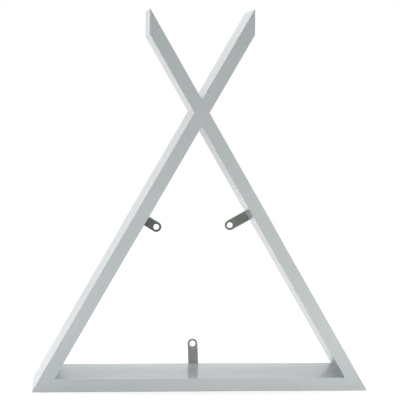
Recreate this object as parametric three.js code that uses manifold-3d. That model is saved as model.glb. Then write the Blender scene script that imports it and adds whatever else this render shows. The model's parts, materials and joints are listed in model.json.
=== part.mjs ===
// A tipi-shaped wall shelf of painted board. Two legs cross near the top in an edge half-lap, a
// shelf board closes the triangle with mitred and dowelled corners, and three steel hanger plates
// turn on single screws in the rear edges. Millimetres, +Z up, the front faces -Y, and the origin
// is the centre of the shelf's underside.
import * as THREE from "three";
import { mergeVertices } from "three/addons/utils/BufferGeometryUtils.js";
import Module from "manifold-3d";

const degrees = THREE.MathUtils.degToRad;

// Frame
const frameWidth = 400; // across the two lower corners
const frameDepth = 120;
const boardThickness = 15.5; // 15 mm board and its paint
const legAngle = degrees(60); // between a leg and the shelf
const tipSpan = 124; // between the upright cuts at the legs' tips
const arrisRadius = 0.5; // of the sanded front and rear edges

// Glued joints between the boards
const glueGap = 0.2;
const cutMargin = 0.05; // how far a cut that parts the boards runs past their faces

// Dowels in the mitres
const dowelDiameter = 6;
const dowelChamfer = 0.7;
const dowelFromHeel = 7; // from the mitre's inner corner to the dowel's axis
const dowelCover = 1.8; // board left between a dowel's end and the outer face
const dowelFromEdge = 30; // from the front or rear face to the dowel's axis
const dowelClearance = 0.2; // round a dowel and past its ends

// Hanger plates
const plateWidth = 12.5;
const plateThickness = 1.5;
const plateEase = 0.2; // the broken edge of the stamped steel
const plateHolePitch = 32.5; // screw hole to hanging hole
const hangingHoleDiameter = 7.3;
const turningGap = 0.2; // on each side of a plate, where it turns
const legPlateAlong = 240; // from a leg's foot, up its outer face, to the plate's screw

// How far each plate was screwed on off its true place: up or along its board, away from the
// triangle, and in angle from square to the board.
const fitting = {
  left: { along: -1.2, outward: 1.5, turn: degrees(-1.5) },
  right: { along: 1, outward: 0, turn: degrees(0.8) },
  shelf: { along: 0, outward: 0, turn: degrees(2.4) },
};

// Plate screws
const screwDiameter = 3.5;
const screwLength = 16; // under the head
const screwPoint = 4;
const headDiameter = 7;
const headHeight = 2.4;
const headRim = 0.8; // the upright side of the head, under its dome
const recessSpan = 3.9;
const recessWidth = 0.9;
const recessDepth = 1.4;
const plateHoleClearance = 0.25; // round the screw in the plate
const pilotClearance = 0.15; // round the screw in the board and past its point

const roundSides = 32;
const plateArcSteps = 12;
const arrisSteps = 3;
const domeSteps = 4;

const rear = frameDepth / 2;
const legReach = (tipSpan + frameWidth) / 2 / Math.cos(legAngle);
const mitreAngle = legAngle / 2;
const dowelRadius = dowelDiameter / 2;

const wasm = await Module();
wasm.setup();

const paint = new THREE.MeshStandardMaterial({ color: 0xc6cdce, roughness: 0.32 });
const beech = new THREE.MeshStandardMaterial({ color: 0xd2b48a, roughness: 0.7 });
const plateSteel = new THREE.MeshStandardMaterial({
  color: 0x7d827b,
  roughness: 0.45,
  metalness: 0.9,
});
const screwSteel = new THREE.MeshStandardMaterial({
  color: 0xb3b4ae,
  roughness: 0.35,
  metalness: 0.95,
});

// ---- Helpers ------------------------------------------------------------------------------

const mirrored = (points) => points.map(([x, z]) => [-x, z]).reverse();

function part(name, geometry, material) {
  const mesh = new THREE.Mesh(geometry, material);
  mesh.name = name;
  return mesh;
}

// A closed geometry as a solid, moved to where the given object stands.
function solid(geometry, place = new THREE.Object3D()) {
  place.updateWorldMatrix(true, false);
  const bare = new THREE.BufferGeometry();
  bare.setAttribute("position", geometry.getAttribute("position").clone());
  bare.setIndex(geometry.getIndex());
  bare.applyMatrix4(place.matrixWorld);
  const merged = mergeVertices(bare, 1e-4);
  const mesh = new wasm.Mesh({
    numProp: 3,
    vertProperties: merged.getAttribute("position").array,
    triVerts: new Uint32Array(merged.getIndex().array),
  });
  return new wasm.Manifold(mesh);
}

function geometryOf(body) {
  const mesh = body.getMesh();
  const geometry = new THREE.BufferGeometry();
  geometry.setAttribute("position", new THREE.BufferAttribute(mesh.vertProperties, 3));
  geometry.setIndex(new THREE.BufferAttribute(mesh.triVerts, 1));
  const flat = geometry.toNonIndexed();
  flat.computeVertexNormals();
  return flat;
}

// An outline in X and Z, drawn through the depth from the front y to the back y.
function prism(points, front, back) {
  const shape = new THREE.Shape(points.map(([x, z]) => new THREE.Vector2(x, z)));
  const geometry = new THREE.ExtrudeGeometry(shape, { depth: back - front, bevelEnabled: false });
  geometry.rotateX(Math.PI / 2);
  geometry.translate(0, back, 0);
  return geometry;
}

// A round solid about Y, from pairs of radius and height that start and end on the axis.
function turned(profile) {
  const points = profile.map(([radius, y]) => new THREE.Vector2(radius, y));
  return new THREE.LatheGeometry(points, roundSides);
}

const bore = (radius, from, to) =>
  turned([
    [0, from],
    [radius, from],
    [radius, to],
    [0, to],
  ]);

// ---- Outline of the frame -----------------------------------------------------------------

// A point of the left leg: up it from its foot, and in from its outer face.
const legPoint = (along, across) => [
  -frameWidth / 2 + along * Math.cos(legAngle) + across * Math.sin(legAngle),
  along * Math.sin(legAngle) - across * Math.cos(legAngle),
];

// The point of the left leg at this distance in from its outer face, where X is reached.
const legPointAt = (x, across) =>
  legPoint((x + frameWidth / 2 - across * Math.sin(legAngle)) / Math.cos(legAngle), across);

// The outside of the frame, anticlockwise from the right foot.
function outerRing() {
  const halfWaist = boardThickness / 2 / Math.sin(legAngle);
  const rightSide = [
    ...mirrored([legPoint(0, 0)]),
    legPointAt(halfWaist, boardThickness),
    legPointAt(tipSpan / 2, boardThickness),
    legPointAt(tipSpan / 2, 0),
  ];
  return [...rightSide, legPointAt(0, 0), ...mirrored(rightSide)];
}

// The open triangle, clockwise from its left corner.
function innerRing() {
  const heel = legPoint(boardThickness / Math.tan(mitreAngle), boardThickness);
  return [heel, legPointAt(0, boardThickness), ...mirrored([heel])];
}

// The ring with every side moved into the material, which lies on its left.
function inset(ring, distance) {
  const normals = ring.map(([x, z], i) => {
    const [nextX, nextZ] = ring[(i + 1) % ring.length];
    return new THREE.Vector2(z - nextZ, nextX - x).normalize();
  });
  return ring.map(([x, z], i) => {
    const before = normals.at(i - 1);
    const after = normals[i];
    const shift = before.clone().add(after);
    shift.multiplyScalar(distance / (1 + before.dot(after)));
    return [x + shift.x, z + shift.y];
  });
}

// ---- Frame, glued up and sanded -----------------------------------------------------------

// The rounded front edge and the rounded rear edge: how far in the outline lies at each Y.
function edgeProfile() {
  const front = Array.from({ length: arrisSteps + 1 }, (_, step) => {
    const turn = ((step / arrisSteps) * Math.PI) / 2;
    return {
      inward: arrisRadius * (1 - Math.sin(turn)),
      y: arrisRadius * (1 - Math.cos(turn)) - rear,
    };
  });
  const back = front.map(({ inward, y }) => ({ inward, y: -y })).reverse();
  return [...front, ...back];
}

// The whole frame in one body, lofted through its edge profile and closed front and rear.
function sandedFrame() {
  const rings = [outerRing(), innerRing()];
  const levels = edgeProfile();
  const positions = levels.flatMap(({ inward, y }) =>
    rings.flatMap((ring) => inset(ring, inward).flatMap(([x, z]) => [x, y, z])),
  );
  const perLevel = rings.flat().length;
  const index = [];
  for (let level = 0; level < levels.length - 1; level += 1) {
    let first = level * perLevel;
    for (const ring of rings) {
      for (let i = 0; i < ring.length; i += 1) {
        const a = first + i;
        const b = first + ((i + 1) % ring.length);
        index.push(a, b + perLevel, b, a, a + perLevel, b + perLevel);
      }
      first += ring.length;
    }
  }
  const [outline, hole] = rings.map((ring) =>
    inset(ring, arrisRadius).map(([x, z]) => new THREE.Vector2(x, z)),
  );
  const back = (levels.length - 1) * perLevel;
  for (const [a, b, c] of THREE.ShapeUtils.triangulateShape(outline, [hole])) {
    index.push(a, b, c, back + a, back + c, back + b);
  }
  const geometry = new THREE.BufferGeometry();
  geometry.setAttribute("position", new THREE.Float32BufferAttribute(positions, 3));
  geometry.setIndex(index);
  return solid(geometry);
}

// ---- Dowels -------------------------------------------------------------------------------

// From the mitre to a dowel's end, which keeps its cover under the outer face of the board.
const mitreLength = boardThickness / Math.sin(mitreAngle);
const depthAtDowel = (mitreLength - dowelFromHeel - dowelRadius) * Math.sin(mitreAngle);
const dowelReach = (depthAtDowel - dowelCover) / Math.cos(mitreAngle);

// Where a dowel crosses its mitre, with its own Y along the dowel. Side is -1 left, 1 right.
function dowelPlace(side, y) {
  const fromFoot = mitreLength - dowelFromHeel;
  const place = new THREE.Object3D();
  place.position.set(
    side * (frameWidth / 2 - fromFoot * Math.cos(mitreAngle)),
    y,
    fromFoot * Math.sin(mitreAngle),
  );
  const axis = new THREE.Vector3(side * Math.sin(mitreAngle), 0, Math.cos(mitreAngle));
  place.quaternion.setFromUnitVectors(new THREE.Vector3(0, 1, 0), axis);
  return place;
}

function dowelGeometry() {
  const endRadius = dowelRadius - dowelChamfer;
  return turned([
    [0, -dowelReach],
    [endRadius, -dowelReach],
    [dowelRadius, dowelChamfer - dowelReach],
    [dowelRadius, dowelReach - dowelChamfer],
    [endRadius, dowelReach],
    [0, dowelReach],
  ]);
}

const dowelSpots = {
  dowel_left_front: dowelPlace(-1, dowelFromEdge - rear),
  dowel_left_rear: dowelPlace(-1, rear - dowelFromEdge),
  dowel_right_front: dowelPlace(1, dowelFromEdge - rear),
  dowel_right_rear: dowelPlace(1, rear - dowelFromEdge),
};

// ---- Hanger plates and their screws -------------------------------------------------------

// Where a plate's screw enters a rear edge. Its own X points at the hanging hole.
function hangerPlace([x, z], heading) {
  const place = new THREE.Group();
  place.position.set(x, rear, z);
  place.rotation.y = -heading;
  return place;
}

function hangerPlaces() {
  const middle = boardThickness / 2;
  const square = legAngle - Math.PI / 2;
  const { left, right, shelf } = fitting;
  const leftSpot = legPoint(legPlateAlong + left.along, middle - left.outward);
  const rightSpot = legPoint(legPlateAlong + right.along, middle - right.outward);
  return {
    left: hangerPlace(leftSpot, square + left.turn),
    right: hangerPlace(mirrored([rightSpot])[0], Math.PI - square - right.turn),
    shelf: hangerPlace([shelf.along, middle - shelf.outward], Math.PI / 2 + shelf.turn),
  };
}

// A flat bar with round ends, a small hole over the screw and a large one to hang by.
function plateGeometry() {
  const radius = plateWidth / 2 - plateEase;
  const shape = new THREE.Shape();
  shape.absarc(plateHolePitch, 0, radius, -Math.PI / 2, Math.PI / 2);
  shape.absarc(0, 0, radius, Math.PI / 2, (3 * Math.PI) / 2);
  const screwHole = new THREE.Path();
  screwHole.absarc(0, 0, screwDiameter / 2 + plateHoleClearance + plateEase, 0, 2 * Math.PI);
  const hangingHole = new THREE.Path();
  hangingHole.absarc(plateHolePitch, 0, hangingHoleDiameter / 2 + plateEase, 0, 2 * Math.PI);
  shape.holes = [screwHole, hangingHole];
  const geometry = new THREE.ExtrudeGeometry(shape, {
    depth: plateThickness - 2 * plateEase,
    bevelThickness: plateEase,
    bevelSize: plateEase,
    bevelSegments: 1,
    curveSegments: plateArcSteps,
  });
  geometry.rotateX(Math.PI / 2);
  geometry.translate(0, turningGap + plateThickness - plateEase, 0);
  return geometry;
}

// A pan head with a cross recess, on a plain shank with a point.
function screwGeometry() {
  const headRadius = headDiameter / 2;
  const shankRadius = screwDiameter / 2;
  const dome = Array.from({ length: domeSteps + 1 }, (_, step) => {
    const turn = ((step / domeSteps) * Math.PI) / 2;
    return [headRadius * Math.cos(turn), headRim + (headHeight - headRim) * Math.sin(turn)];
  });
  dome.at(-1)[0] = 0;
  const blank = turned([
    [0, -screwLength],
    [shankRadius, screwPoint - screwLength],
    [shankRadius, 0],
    [headRadius, 0],
    ...dome,
  ]);
  const across = new THREE.BoxGeometry(recessSpan, 2 * recessDepth, recessWidth);
  const along = new THREE.BoxGeometry(recessWidth, 2 * recessDepth, recessSpan);
  const top = new THREE.Object3D();
  top.position.y = headHeight;
  const recess = solid(across, top).add(solid(along, top));
  return geometryOf(solid(blank).subtract(recess));
}

const headSeat = plateThickness + 2 * turningGap;

function pilotHole() {
  const depth = screwLength - headSeat + pilotClearance;
  return bore(screwDiameter / 2 + pilotClearance, -depth, 1);
}

function hanger(side, place) {
  place.add(part(`hanger_${side}`, plateGeometry(), plateSteel));
  const screw = part(`screw_${side}`, screwGeometry(), screwSteel);
  screw.position.y = headSeat;
  place.add(screw);
  return place;
}

// ---- Boards, parted from the frame --------------------------------------------------------

// How far from the foot the edge of the mitre's cut lies, at this depth in from the outer face.
const mitreStart = (across) =>
  (glueGap / 2 + across * Math.cos(mitreAngle)) / Math.sin(mitreAngle);

const outside = -cutMargin;
const inside = boardThickness + cutMargin;

function boreFrame(frame, hangers) {
  const dowelHole = bore(
    dowelRadius + dowelClearance,
    -dowelReach - dowelClearance,
    dowelReach + dowelClearance,
  );
  const holes = [
    ...Object.values(dowelSpots).map((place) => solid(dowelHole, place)),
    ...Object.values(hangers).map((place) => solid(pilotHole(), place)),
  ];
  return holes.reduce((bored, hole) => bored.subtract(hole), frame);
}

// The left leg's share of the frame, seen from the front.
const legShare = [
  legPoint(mitreStart(outside), outside),
  legPoint(mitreStart(inside), inside),
  legPoint(legReach + cutMargin, inside),
  legPoint(legReach + cutMargin, outside),
];

// The slot that lets the left leg through the right one, seen from the front.
const legSlot = [
  legPoint(0, -glueGap),
  legPoint(0, boardThickness + glueGap),
  legPoint(legReach, boardThickness + glueGap),
  legPoint(legReach, -glueGap),
];

const shelfShare = [
  [mitreStart(outside) - frameWidth / 2, outside],
  [mitreStart(inside) - frameWidth / 2, inside],
];

const allDepth = (points) => solid(prism(points, -frameDepth, frameDepth));

// The left leg runs through in the front half of the crossing, and the right leg in the rear.
function boards(frame) {
  const rearSlot = solid(prism(mirrored(legSlot), -glueGap / 2, frameDepth));
  const frontSlot = solid(prism(legSlot, -frameDepth, glueGap / 2));
  return {
    leg_left: frame.intersect(allDepth(legShare)).subtract(rearSlot),
    leg_right: frame.intersect(allDepth(mirrored(legShare))).subtract(frontSlot),
    shelf_board: frame.intersect(allDepth([...shelfShare, ...mirrored(shelfShare)])),
  };
}

// ---- The whole shelf ----------------------------------------------------------------------

function tipiShelf() {
  const shelf = new THREE.Group();
  const hangers = hangerPlaces();
  const bored = boreFrame(sandedFrame(), hangers);
  for (const [name, board] of Object.entries(boards(bored))) {
    shelf.add(part(name, geometryOf(board), paint));
  }
  for (const [name, place] of Object.entries(dowelSpots)) {
    shelf.add(place.add(part(name, dowelGeometry(), beech)));
  }
  for (const [side, place] of Object.entries(hangers)) {
    shelf.add(hanger(side, place));
  }
  return shelf;
}

export default tipiShelf();
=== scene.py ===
"""A tipi-shaped wall shelf in satin lacquer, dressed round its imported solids.

Metres, +Z up. The front faces -Y, and the origin is the centre of the shelf's underside.
"""
import json
import math

import bmesh
import bpy
from mathutils import Euler, Matrix, Vector

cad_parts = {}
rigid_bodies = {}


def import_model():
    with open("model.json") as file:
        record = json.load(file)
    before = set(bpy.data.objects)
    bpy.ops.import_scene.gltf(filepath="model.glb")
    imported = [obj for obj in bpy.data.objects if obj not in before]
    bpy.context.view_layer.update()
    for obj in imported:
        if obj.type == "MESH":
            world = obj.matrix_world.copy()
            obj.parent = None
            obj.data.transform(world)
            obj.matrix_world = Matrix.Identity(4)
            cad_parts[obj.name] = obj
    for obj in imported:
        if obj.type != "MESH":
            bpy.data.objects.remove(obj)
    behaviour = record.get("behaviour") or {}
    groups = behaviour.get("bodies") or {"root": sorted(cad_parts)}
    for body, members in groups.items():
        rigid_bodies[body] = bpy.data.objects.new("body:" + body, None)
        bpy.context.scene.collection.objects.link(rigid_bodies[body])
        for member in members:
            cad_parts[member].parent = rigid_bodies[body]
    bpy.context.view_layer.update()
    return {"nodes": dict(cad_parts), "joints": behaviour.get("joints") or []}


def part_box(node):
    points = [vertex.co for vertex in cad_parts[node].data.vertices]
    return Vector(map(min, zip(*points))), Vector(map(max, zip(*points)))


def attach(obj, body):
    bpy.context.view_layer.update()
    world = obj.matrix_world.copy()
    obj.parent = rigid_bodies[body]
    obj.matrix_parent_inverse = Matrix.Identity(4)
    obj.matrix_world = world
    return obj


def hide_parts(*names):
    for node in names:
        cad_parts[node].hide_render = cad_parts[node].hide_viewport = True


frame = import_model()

MM = 0.001

# Camera: the photograph's viewpoint, with its turn in degrees and its lens in millimetres
CAMERA_AT = (-160.02 * MM, -2244.65 * MM, 368.4 * MM)
CAMERA_TURN = (86.335, -0.352, -4.120)
CAMERA_LENS = 167.18
CAMERA_SENSOR = 36
CAMERA_SEES_FROM, CAMERA_SEES_TO = 0.05, 100

# The boards, from the frame
SHELF_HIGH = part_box("shelf_board")[1]
LEG_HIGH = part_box("leg_left")[1]
THICK = SHELF_HIGH.z
REAR = SHELF_HIGH.y
TIP_X = LEG_HIGH.x
LEG_ANGLE = math.radians(60)
HALF_WIDTH = LEG_HIGH.z / math.tan(LEG_ANGLE) - TIP_X

# Sanding and paint, on the boards' edges and in their corners. A corner is no tighter than
# the arris and a filled one is wider, or their arcs would fold over as the outline moves in.
ARRIS = 0.3 * MM
CORNER = 0.3 * MM
FILLET = 0.35 * MM
ARRIS_STEPS = 6
CORNER_STEPS = 4

# Hanger plates
PLATE_WIDTH = 12.5 * MM
PLATE_EASE = 0.12 * MM
PLATE_EASE_STEPS = 3
PLATE_END_STEPS = 32
HOLE_PITCH = 32.5 * MM
HANGING_HOLE = 7.3 * MM
SCREW_HOLE = 4.0 * MM
HOLE_STEPS = 64

# How light each plate's zinc is, from 0 to 255: the same zinc with painted shade and light,
# darker or lighter on each plate for the light that falls on it, and how far its darkest and its
# lightest mottle lie from that in red, green and blue
ZINC_TONES_PAINTED_SHADE = {"left": 103, "right": 130, "shelf": 157}
ZINC_MOTTLE = ((-9, -5, -11), (9, 13, 6))

# Plate screws. The rim is the share of the head's height that stands upright under its dome,
# and a rounded rim's middle lies in by this share of its ease. The dome is fuller than a
# circle's arc where its power is under 1.
HEAD_DIAMETER = 7.0 * MM
HEAD_RIM = 0.3
HEAD_EASE = 0.15 * MM
EASE_MIDDLE = 0.3
DOME_POWER = 0.8
DOME_STEPS = 12
SHANK_DIAMETER = 3.5 * MM
SCREW_LENGTH = 16 * MM
SCREW_POINT = 4 * MM
SCREW_STEPS = 64
DRIVE_TURNS = {"left": 0.6, "right": 1.1, "shelf": 0.2}

# The screws' cross recess: its depth, how far its cutter stands above the head, and the span
# and width of its arms at the cutter's foot and at its top
RECESS_DEPTH = 1.5 * MM
RECESS_ABOVE = 1 * MM
RECESS_FOOT = (1.5 * MM, 0.5 * MM)
RECESS_TOP = (4.5 * MM, 1.25 * MM)

# Meshes: points closer than this are one, and edges that bend less than this look smooth
MERGE_WITHIN = 1e-7
SMOOTH_UNDER = math.radians(35)

# Noise is spread out from this part of its range, which holds nearly all of it
NOISE_LOW, NOISE_HIGH = 0.3, 0.7


def srgb(red, green, blue):
    """A colour as written in 0 to 255, in Blender's linear values."""

    def linear(value):
        share = value / 255
        return share / 12.92 if share <= 0.04045 else ((share + 0.055) / 1.055) ** 2.4

    return (linear(red), linear(green), linear(blue), 1.0)


# ---- Faces of the boards, as lines in X and Z ------------------------------------------------


class Face:
    """A flat face seen edge on: its outward normal, and how far out it lies."""

    def __init__(self, normal_x, normal_z, out):
        self.normal = Vector((normal_x, normal_z))
        self.out = out

    def meets(self, other, inward=0.0, other_inward=0.0):
        """Where this face, moved inwards, crosses another."""
        a, b = self.normal, other.normal
        c, d = self.out - inward, other.out - other_inward
        det = a.x * b.y - a.y * b.x
        return Vector(((c * b.y - d * a.y) / det, (a.x * d - b.x * c) / det))

    def corner(self, other, inward, radius):
        """The rounded corner from this face to the next. A negative radius fills a corner."""
        centre = self.meets(other, radius, radius)
        first = math.atan2(self.normal.y, self.normal.x)
        turn = self.normal.angle_signed(other.normal)
        points = []
        for step in range(2 * CORNER_STEPS + 1):
            angle = first - turn * step / (2 * CORNER_STEPS)
            spoke = Vector((math.cos(angle), math.sin(angle)))
            points.append(centre + spoke * (radius - inward))
        return points


SIN, COS = math.sin(LEG_ANGLE), math.cos(LEG_ANGLE)
UNDER = Face(0, -1, 0)
TOP = Face(0, 1, THICK)
LEFT_OUT = Face(-SIN, COS, HALF_WIDTH * SIN)
LEFT_IN = Face(SIN, -COS, THICK - HALF_WIDTH * SIN)
LEFT_END = Face(1, 0, TIP_X)
RIGHT_OUT = Face(SIN, COS, HALF_WIDTH * SIN)
RIGHT_IN = Face(-SIN, -COS, THICK - HALF_WIDTH * SIN)
APEX = LEFT_IN.meets(RIGHT_IN)
NOTCH = LEFT_OUT.meets(RIGHT_OUT)


# ---- Outlines of the boards, with their edges moved inwards ----------------------------------


def first_half(points):
    return points[: CORNER_STEPS + 1]


def second_half(points):
    return points[CORNER_STEPS:]


def leg_foot(inward):
    """The leg's end at the mitre, from the toe to the start of the inner face."""
    toe = LEFT_OUT.corner(UNDER, inward, CORNER)
    heel = TOP.corner(LEFT_IN, inward, -FILLET)
    return [toe[CORNER_STEPS], *second_half(heel)]


def leg_toe(inward):
    """The leg's half of the rounded toe, from the outer face to just short of the mitre."""
    return first_half(LEFT_OUT.corner(UNDER, inward, CORNER))[:-1]


def leg_tip(inward):
    """From the inner face round the upright cut and down to the middle of the top notch."""
    return [
        *LEFT_IN.corner(LEFT_END, inward, CORNER),
        *LEFT_END.corner(LEFT_OUT, inward, CORNER),
        *first_half(LEFT_OUT.corner(RIGHT_OUT, inward, -FILLET)),
        NOTCH,
    ]


def leg_apex(inward):
    """The leg's half of the filled corner under the crossing."""
    return [*first_half(LEFT_IN.corner(RIGHT_IN, inward, -FILLET)), APEX]


def whole_leg(inward):
    """The left leg where it runs through the crossing."""
    return [
        *leg_foot(inward),
        *leg_apex(inward),
        LEFT_IN.meets(RIGHT_OUT, 0, inward),
        LEFT_IN.meets(RIGHT_OUT, inward, inward),
        *leg_tip(inward),
        LEFT_OUT.meets(RIGHT_IN, 0, inward),
        LEFT_OUT.meets(RIGHT_IN, inward, inward),
        *leg_toe(inward),
    ]


def lower_arm(inward):
    """The left leg below the crossing, where the right leg runs through."""
    return [
        *leg_foot(inward),
        *leg_apex(inward),
        LEFT_OUT.meets(RIGHT_IN, inward, 0),
        *leg_toe(inward),
    ]


def upper_arm(inward):
    """The left leg above the crossing, where the right leg runs through."""
    return [LEFT_IN.meets(RIGHT_OUT, inward, 0), *leg_tip(inward)]


def shelf_end(inward):
    """The shelf's left end, from the top face round to the underside."""
    heel = TOP.corner(LEFT_IN, inward, -FILLET)
    toe = LEFT_OUT.corner(UNDER, inward, CORNER)
    return [*first_half(heel), *second_half(toe)]


def shelf_outline(inward):
    left = shelf_end(inward)
    right = [Vector((-point.x, point.y)) for point in reversed(left)]
    return [*left, *right]


# ---- Meshes ----------------------------------------------------------------------------------


def edge_levels(face_y):
    """How far the outline lies in at each Y of a rounded edge, from the face inwards."""
    towards = -1 if face_y > 0 else 1
    levels = []
    for step in range(ARRIS_STEPS + 1):
        turn = math.pi / 2 * step / ARRIS_STEPS
        inward = ARRIS * (1 - math.sin(turn))
        levels.append((face_y + towards * ARRIS * (1 - math.cos(turn)), inward))
    return levels


def add_ring(mesh, outline, y):
    return [mesh.verts.new((point.x, y, point.y)) for point in outline]


def loft(mesh, outline, levels, closed_ends=(True, False)):
    """Joins one outline's rings from level to level."""
    rings = [add_ring(mesh, outline(inward), y) for y, inward in levels]
    for near, far in zip(rings, rings[1:]):
        for i, corner in enumerate(near):
            after = (i + 1) % len(near)
            mesh.faces.new((corner, near[after], far[after], far[i]))
    for ring, closed in zip((rings[0], rings[-1]), closed_ends):
        if closed:
            mesh.faces.new(ring)


def link_mesh(mesh, name):
    """Puts a built mesh into the scene as an object."""
    data = bpy.data.meshes.new(name)
    mesh.to_mesh(data)
    mesh.free()
    piece = bpy.data.objects.new(name, data)
    bpy.context.scene.collection.objects.link(piece)
    return piece


def finish_mesh(mesh, name):
    """Merges, tidies and shades a mesh, and links it as an object."""
    bmesh.ops.remove_doubles(mesh, verts=mesh.verts, dist=MERGE_WITHIN)
    bmesh.ops.dissolve_degenerate(mesh, edges=mesh.edges, dist=MERGE_WITHIN)
    bmesh.ops.recalc_face_normals(mesh, faces=mesh.faces)
    piece = link_mesh(mesh, name)
    piece.data.shade_smooth()
    piece.data.set_sharp_from_angle(angle=SMOOTH_UNDER)
    even = piece.modifiers.new("even_shading", "WEIGHTED_NORMAL")
    even.keep_sharp = True
    return piece


def leg_mesh():
    """The left leg: whole in the front half of the depth, and parted by a slot in the rear."""
    mesh = bmesh.new()
    loft(mesh, whole_leg, [*edge_levels(-REAR), (0, 0)])
    for arm in (lower_arm, upper_arm):
        loft(mesh, arm, [*edge_levels(REAR), (0, 0)])
    crossing = [
        LEFT_OUT.meets(RIGHT_IN),
        APEX,
        LEFT_IN.meets(RIGHT_OUT),
        NOTCH,
    ]
    mesh.faces.new(add_ring(mesh, crossing, 0))
    return mesh


def make_legs():
    """The left leg, and the right one, which is the same leg turned half round."""
    left = finish_mesh(leg_mesh(), "painted_leg_left")
    turned = leg_mesh()
    half_turn = Matrix.Rotation(math.pi, 4, "Z")
    bmesh.ops.transform(turned, matrix=half_turn, verts=turned.verts)
    right = finish_mesh(turned, "painted_leg_right")
    return left, right


def make_shelf():
    mesh = bmesh.new()
    levels = [*edge_levels(-REAR), *reversed(edge_levels(REAR))]
    loft(mesh, shelf_outline, levels, closed_ends=(True, True))
    return finish_mesh(mesh, "painted_shelf")


def place_flat(low_y, high_y, at, heading):
    """Stands a flat shape upright: its own X turned to the heading, its Z to the rear."""
    along = Vector((math.cos(heading), 0, math.sin(heading)))
    rearwards = Vector((0, 1, 0))
    across = rearwards.cross(along)
    turn = Matrix((along, across, rearwards)).transposed().to_4x4()
    return Matrix.Translation((at[0], (low_y + high_y) / 2, at[2])) @ turn


def arc_points(centre_x, radius, start, end, steps):
    points = []
    for step in range(steps + 1):
        angle = start + (end - start) * step / steps
        points.append((centre_x + radius * math.cos(angle), radius * math.sin(angle)))
    return points


def add_loop(curve, points):
    loop = curve.splines.new("POLY")
    loop.points.add(len(points) - 1)
    loop.use_cyclic_u = True
    for point, (x, y) in zip(loop.points, points):
        point.co = (x, y, 0, 1)


def plate_mesh(thickness):
    """A flat bar with round ends and two holes, its stamped edges slightly rounded."""
    curve = bpy.data.curves.new("plate_outline", "CURVE")
    curve.dimensions = "2D"
    curve.fill_mode = "BOTH"
    curve.extrude = thickness / 2 - PLATE_EASE
    curve.bevel_depth = PLATE_EASE
    curve.bevel_resolution = PLATE_EASE_STEPS
    curve.offset = -PLATE_EASE
    quarter = math.pi / 2
    far_end = arc_points(HOLE_PITCH, PLATE_WIDTH / 2, -quarter, quarter, PLATE_END_STEPS)
    near_end = arc_points(0, PLATE_WIDTH / 2, quarter, 3 * quarter, PLATE_END_STEPS)
    add_loop(curve, far_end + near_end)
    for centre, diameter in ((0, SCREW_HOLE), (HOLE_PITCH, HANGING_HOLE)):
        add_loop(curve, arc_points(centre, diameter / 2, 4 * quarter, 0, HOLE_STEPS)[:-1])
    shape = bpy.data.objects.new("plate_outline", curve)
    mesh = bmesh.new()
    mesh.from_mesh(shape.to_mesh())
    bpy.data.objects.remove(shape)
    return mesh


def make_plate(side, joint):
    """The hanger plate that turns on the given joint, headed as its solid is."""
    low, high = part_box(f"hanger_{side}")
    middle = (low + high) / 2
    pivot = joint["pos_m"]
    heading = math.atan2(middle.z - pivot[2], middle.x - pivot[0])
    mesh = plate_mesh(high.y - low.y)
    place = place_flat(low.y, high.y, pivot, heading)
    bmesh.ops.transform(mesh, matrix=place, verts=mesh.verts)
    return finish_mesh(mesh, f"steel_plate_{side}")


def revolve(mesh, profile):
    """A round body about Y from pairs of radius and height, closed at both ends of the axis."""
    rings = []
    for radius, y in profile:
        if radius == 0:
            rings.append([mesh.verts.new((0, y, 0))])
            continue
        ring = []
        for step in range(SCREW_STEPS):
            angle = 2 * math.pi * step / SCREW_STEPS
            ring.append(mesh.verts.new((radius * math.cos(angle), y, radius * math.sin(angle))))
        rings.append(ring)
    for near, far in zip(rings, rings[1:]):
        for i in range(SCREW_STEPS):
            after = (i + 1) % SCREW_STEPS
            corners = [near[i % len(near)], near[after % len(near)]]
            corners += [far[after % len(far)], far[i % len(far)]]
            mesh.faces.new(list(dict.fromkeys(corners)))


def screw_profile(head_height):
    """From the point up the shank, over the head's rounded rim and dome to its middle."""
    head, shank = HEAD_DIAMETER / 2, SHANK_DIAMETER / 2
    rim = head_height * HEAD_RIM
    inset = HEAD_EASE * EASE_MIDDLE
    profile = [(0, -SCREW_LENGTH), (shank, SCREW_POINT - SCREW_LENGTH), (shank, 0)]
    profile += [(head - HEAD_EASE, 0), (head - inset, inset), (head, HEAD_EASE)]
    for step in range(DOME_STEPS + 1):
        turn = math.pi / 2 * step / DOME_STEPS
        bulge = math.cos(turn) ** DOME_POWER
        profile.append((head * bulge, rim + (head_height - rim) * math.sin(turn)))
    profile[-1] = (0, head_height)
    return profile


def recess_cutter(head_height):
    """A cross that narrows with its depth, to be cut out of the screw's head."""
    mesh = bmesh.new()
    levels = (
        (head_height - RECESS_DEPTH, *RECESS_FOOT),
        (head_height + RECESS_ABOVE, *RECESS_TOP),
    )
    for arm_angle in (0, math.pi / 2):
        turn = Matrix.Rotation(arm_angle, 3, "Y")
        rings = []
        for y, span, width in levels:
            corners = ((span, width), (-span, width), (-span, -width), (span, -width))
            points = [turn @ Vector((x / 2, y, z / 2)) for x, z in corners]
            rings.append([mesh.verts.new(point) for point in points])
        foot, top = rings
        mesh.faces.new(foot)
        mesh.faces.new(top)
        for i in range(len(foot)):
            after = (i + 1) % len(foot)
            mesh.faces.new((foot[i], foot[after], top[after], top[i]))
    bmesh.ops.recalc_face_normals(mesh, faces=mesh.faces)
    return link_mesh(mesh, "recess")


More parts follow.
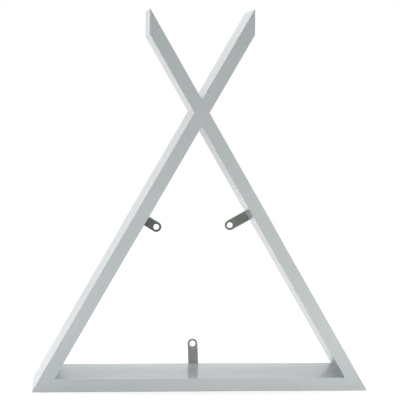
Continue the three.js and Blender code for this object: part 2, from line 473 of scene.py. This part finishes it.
def screw_mesh(head_height):
    """The screw at the origin, point to the front, with its recess cut."""
    mesh = bmesh.new()
    revolve(mesh, screw_profile(head_height))
    bmesh.ops.recalc_face_normals(mesh, faces=mesh.faces)
    blank = link_mesh(mesh, "blank")
    cutter = recess_cutter(head_height)
    cut = blank.modifiers.new("recess", "BOOLEAN")
    cut.object = cutter
    cut.use_self = True
    bpy.context.view_layer.update()
    cut_blank = blank.evaluated_get(bpy.context.evaluated_depsgraph_get())
    screw = bmesh.new()
    screw.from_mesh(cut_blank.to_mesh())
    for leftover in (blank, cutter):
        bpy.data.objects.remove(leftover)
    return screw


def make_screw(side, joint, drive_turn):
    """A pan-head screw through the plate, with its cross recess left at some angle."""
    low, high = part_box(f"screw_{side}")
    seat = low.y + SCREW_LENGTH
    mesh = screw_mesh(high.y - seat)
    pivot = joint["pos_m"]
    place = Matrix.Translation((pivot[0], seat, pivot[2])) @ Matrix.Rotation(drive_turn, 4, "Y")
    bmesh.ops.transform(mesh, matrix=place, verts=mesh.verts)
    return finish_mesh(mesh, f"pan_head_screw_{side}")


# ---- Materials -------------------------------------------------------------------------------


class Recipe:
    """A node material, with short calls for the nodes it needs."""

    def __init__(self, name):
        self.material = bpy.data.materials.new(name)
        self.material.use_nodes = True
        self.tree = self.material.node_tree
        self.shader = self.tree.nodes["Principled BSDF"]
        self.place = self.tree.nodes.new("ShaderNodeTexCoord").outputs["Object"]

    def set(self, socket, value):
        self.shader.inputs[socket].default_value = value

    def connect(self, source, socket):
        self.tree.links.new(source, self.shader.inputs[socket])

    def noise(self, per_metre, detail=3, stretch=(1, 1, 1)):
        """Noise with this many features to the metre, stretched along the axes."""
        mapping = self.tree.nodes.new("ShaderNodeMapping")
        mapping.inputs["Scale"].default_value = stretch
        self.tree.links.new(self.place, mapping.inputs["Vector"])
        noise = self.tree.nodes.new("ShaderNodeTexNoise")
        noise.inputs["Scale"].default_value = per_metre
        noise.inputs["Detail"].default_value = detail
        self.tree.links.new(mapping.outputs["Vector"], noise.inputs["Vector"])
        return noise.outputs["Fac"]

    def ramp(self, source, low, high):
        """Spreads noise between two colours."""
        ramp = self.tree.nodes.new("ShaderNodeValToRGB")
        ends = ((NOISE_LOW, low), (NOISE_HIGH, high))
        for element, (position, colour) in zip(ramp.color_ramp.elements, ends):
            element.position = position
            element.color = colour
        self.tree.links.new(source, ramp.inputs["Fac"])
        return ramp.outputs["Color"]

    def spread(self, source, low, high):
        """Spreads noise between two numbers."""
        spread = self.tree.nodes.new("ShaderNodeMapRange")
        spread.inputs["From Min"].default_value = NOISE_LOW
        spread.inputs["From Max"].default_value = NOISE_HIGH
        spread.inputs["To Min"].default_value = low
        spread.inputs["To Max"].default_value = high
        self.tree.links.new(source, spread.inputs["Value"])
        return spread.outputs["Result"]

    def bump(self, source, distance, strength):
        """Raises the surface by noise."""
        bump = self.tree.nodes.new("ShaderNodeBump")
        bump.inputs["Strength"].default_value = strength
        bump.inputs["Distance"].default_value = distance
        self.tree.links.new(source, bump.inputs["Height"])
        return bump.outputs["Normal"]


def lacquer():
    """Satin blue-grey paint, sprayed: a faint orange peel and a breath of unevenness."""
    recipe = Recipe("satin_lacquer")
    tone = recipe.noise(per_metre=9, detail=2)
    recipe.connect(recipe.ramp(tone, srgb(193, 201, 204), srgb(197, 205, 208)), "Base Color")
    haze = recipe.noise(per_metre=35)
    recipe.connect(recipe.spread(haze, low=0.2, high=0.24), "Roughness")
    orange_peel = recipe.noise(per_metre=420, detail=1)
    recipe.connect(recipe.bump(orange_peel, distance=0.01 * MM, strength=0.1), "Normal")
    return recipe.material


def plate_steel_painted_shade(side, tone):
    """Dull, slightly greenish zinc on rolled steel, with a mottled grain, its tone per plate
    painted darker or lighter as painted shade and light.
    """
    recipe = Recipe(f"dull_zinc_painted_shade_{side}")
    recipe.set("Metallic", 0.85)
    dark, light = (srgb(*(tone + shift for shift in shifts)) for shifts in ZINC_MOTTLE)
    mottle = recipe.noise(per_metre=420, detail=6)
    recipe.connect(recipe.ramp(mottle, dark, light), "Base Color")
    haze = recipe.noise(per_metre=600)
    recipe.connect(recipe.spread(haze, low=0.4, high=0.54), "Roughness")
    grain = recipe.noise(per_metre=1800, detail=4)
    recipe.connect(recipe.bump(grain, distance=0.01 * MM, strength=0.4), "Normal")
    return recipe.material


def screw_steel():
    """Bright zinc, finely scratched."""
    recipe = Recipe("bright_zinc")
    recipe.set("Metallic", 0.95)
    tone = recipe.noise(per_metre=700, detail=4)
    recipe.connect(recipe.ramp(tone, srgb(160, 162, 156), srgb(190, 191, 186)), "Base Color")
    haze = recipe.noise(per_metre=900)
    recipe.connect(recipe.spread(haze, low=0.25, high=0.42), "Roughness")
    scratches = recipe.noise(per_metre=2500, detail=3)
    recipe.connect(recipe.bump(scratches, distance=0.005 * MM, strength=0.5), "Normal")
    return recipe.material


def beech():
    """Raw beech: a fine grain with short darker flecks."""
    recipe = Recipe("raw_beech")
    grain = recipe.noise(per_metre=900, detail=5, stretch=(1, 1, 0.1))
    recipe.connect(recipe.ramp(grain, srgb(190, 152, 108), srgb(217, 185, 143)), "Base Color")
    recipe.connect(recipe.spread(grain, low=0.6, high=0.75), "Roughness")
    recipe.connect(recipe.bump(grain, distance=0.05 * MM, strength=0.5), "Normal")
    return recipe.material


def coat(piece, material):
    piece.data.materials.clear()
    piece.data.materials.append(material)


# ---- Stage -----------------------------------------------------------------------------------

WHITE = (1, 1, 1, 1)
STUDIO_LEVEL = 0.25
BACKDROP_LEVEL = 1.0

FLOOR_SIZE = 5.0
FLOOR_GAP = 0.3 * MM
FLOOR_TONE = 0.7
FLOOR_ROUGHNESS = 0.9
FLOOR_SHINE = 0.1
# The floor's own glow where it is seen, and where it starts and stops rising with distance
FLOOR_GLOW_NEAR, FLOOR_GLOW_FAR = 0.53, 0.76
GLOW_RISES_FROM, GLOW_RISES_TO = 0.4, 2.2
FLOOR_MIRROR_GLOW = 0.5

# Softboxes: where each stands, its width and height, its power in watts and its colour
NEUTRAL, WARM = (1.0, 1.0, 1.0), (1.0, 0.94, 0.87)
SOFTBOXES = {
    "top": ((0.0, 0.1, 1.6), (1.6, 1.2), 16.5, NEUTRAL),
    "left": ((-1.6, 0.3, 0.6), (1.2, 1.2), 7.1, NEUTRAL),
    "right": ((1.6, 0.8, 0.6), (1.2, 1.2), 7, NEUTRAL),
    "rear": ((0.0, 2.0, 0.8), (1.5, 1.0), 8, NEUTRAL),
    "low_left": ((-0.3, -0.5, 0.03), (0.4, 0.05), 0.5, NEUTRAL),
    "low_right": ((0.25, -0.55, 0.03), (0.4, 0.05), 1.1, WARM),
}
LIT_POINT = (0, 0, 0.2)


def make_camera():
    data = bpy.data.cameras.new("camera")
    data.sensor_width = CAMERA_SENSOR
    data.lens = CAMERA_LENS
    data.clip_start, data.clip_end = CAMERA_SEES_FROM, CAMERA_SEES_TO
    camera = bpy.data.objects.new("camera", data)
    camera.location = CAMERA_AT
    camera.rotation_euler = Euler([math.radians(angle) for angle in CAMERA_TURN])
    bpy.context.scene.collection.objects.link(camera)
    bpy.context.scene.camera = camera


def shown(tree, seen, mirrored):
    """One value for rays straight from the camera, one for what gloss and glass show, else 0."""
    path = tree.nodes.new("ShaderNodeLightPath")

    def join(operation, first, second):
        joined = tree.nodes.new("ShaderNodeMath")
        joined.operation = operation
        tree.links.new(first, joined.inputs[0])
        if isinstance(second, float):
            joined.inputs[1].default_value = second
        else:
            tree.links.new(second, joined.inputs[1])
        return joined.outputs["Value"]

    mirror_ray = join("MAXIMUM", path.outputs["Is Glossy Ray"], path.outputs["Is Transmission Ray"])
    from_camera = join("MULTIPLY", path.outputs["Is Camera Ray"], seen)
    return join("MAXIMUM", from_camera, join("MULTIPLY", mirror_ray, mirrored))


def make_world():
    """White where it is seen, and a soft grey studio where it lights the object."""
    world = bpy.data.worlds.new("studio")
    bpy.context.scene.world = world
    world.use_nodes = True
    tree = world.node_tree
    light = tree.nodes["Background"]
    backdrop = tree.nodes.new("ShaderNodeBackground")
    for background, level in ((light, STUDIO_LEVEL), (backdrop, BACKDROP_LEVEL)):
        background.inputs["Color"].default_value = WHITE
        background.inputs["Strength"].default_value = level
    mix = tree.nodes.new("ShaderNodeMixShader")
    tree.links.new(shown(tree, seen=1.0, mirrored=1.0), mix.inputs["Fac"])
    tree.links.new(light.outputs["Background"], mix.inputs[1])
    tree.links.new(backdrop.outputs["Background"], mix.inputs[2])
    tree.links.new(mix.outputs["Shader"], tree.nodes["World Output"].inputs["Surface"])


def floor_glow(tree):
    """Least round the object, so that its shadow shows, and more where the lamps don't reach."""
    place = tree.nodes.new("ShaderNodeTexCoord").outputs["Object"]
    distance = tree.nodes.new("ShaderNodeVectorMath")
    distance.operation = "LENGTH"
    tree.links.new(place, distance.inputs[0])
    rise = tree.nodes.new("ShaderNodeMapRange")
    rise.inputs["From Min"].default_value = GLOW_RISES_FROM
    rise.inputs["From Max"].default_value = GLOW_RISES_TO
    rise.inputs["To Min"].default_value = FLOOR_GLOW_NEAR
    rise.inputs["To Max"].default_value = FLOOR_GLOW_FAR
    tree.links.new(distance.outputs["Value"], rise.inputs["Value"])
    return rise.outputs["Result"]


def pale_floor():
    """A pale matt grey that glows to white, though it lights nothing but what mirrors it."""
    material = bpy.data.materials.new("pale_floor")
    material.use_nodes = True
    tree = material.node_tree
    shader = tree.nodes["Principled BSDF"]
    shader.inputs["Base Color"].default_value = (FLOOR_TONE, FLOOR_TONE, FLOOR_TONE, 1)
    shader.inputs["Roughness"].default_value = FLOOR_ROUGHNESS
    shader.inputs["Specular IOR Level"].default_value = FLOOR_SHINE
    shader.inputs["Emission Color"].default_value = WHITE
    glow = shown(tree, floor_glow(tree), FLOOR_MIRROR_GLOW)
    tree.links.new(glow, shader.inputs["Emission Strength"])
    return material


def make_floor():
    """A pale floor that reads as the white backdrop where nothing shades it."""
    half = FLOOR_SIZE / 2
    mesh = bmesh.new()
    corners = ((-half, -half), (half, -half), (half, half), (-half, half))
    mesh.faces.new([mesh.verts.new((x, y, 0)) for x, y in corners])
    floor = link_mesh(mesh, "floor")
    floor.location.z = -FLOOR_GAP
    coat(floor, pale_floor())


def add_softbox(name, at, size, power, colour):
    data = bpy.data.lights.new(name, "AREA")
    data.shape = "RECTANGLE"
    data.size, data.size_y = size
    data.energy = power
    data.color = colour
    lamp = bpy.data.objects.new(name, data)
    lamp.location = at
    lamp.rotation_euler = (Vector(LIT_POINT) - Vector(at)).to_track_quat("-Z", "Y").to_euler()
    bpy.context.scene.collection.objects.link(lamp)
    lamp.visible_camera = False
    lamp.visible_glossy = False


def make_lights():
    for name, settings in SOFTBOXES.items():
        add_softbox(name, *settings)


# ---- The shelf -------------------------------------------------------------------------------

make_camera()
make_world()
make_floor()
make_lights()

paint = lacquer()
left_leg, right_leg = make_legs()
shelf = make_shelf()
for board, node in ((left_leg, "leg_left"), (right_leg, "leg_right"), (shelf, "shelf_board")):
    coat(board, paint)
    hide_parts(node)
    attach(board, "frame")

bright = screw_steel()
for joint in frame["joints"]:
    side = joint["name"].split("_")[0]
    plate = make_plate(side, joint)
    coat(plate, plate_steel_painted_shade(side, ZINC_TONES_PAINTED_SHADE[side]))
    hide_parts(f"hanger_{side}")
    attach(plate, joint["child"])
    screw = make_screw(side, joint, DRIVE_TURNS[side])
    coat(screw, bright)
    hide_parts(f"screw_{side}")
    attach(screw, joint["parent"])

wood = beech()
for name, node in frame["nodes"].items():
    if name.startswith("dowel"):
        coat(node, wood)

bpy.context.scene.view_settings.view_transform = "Standard"
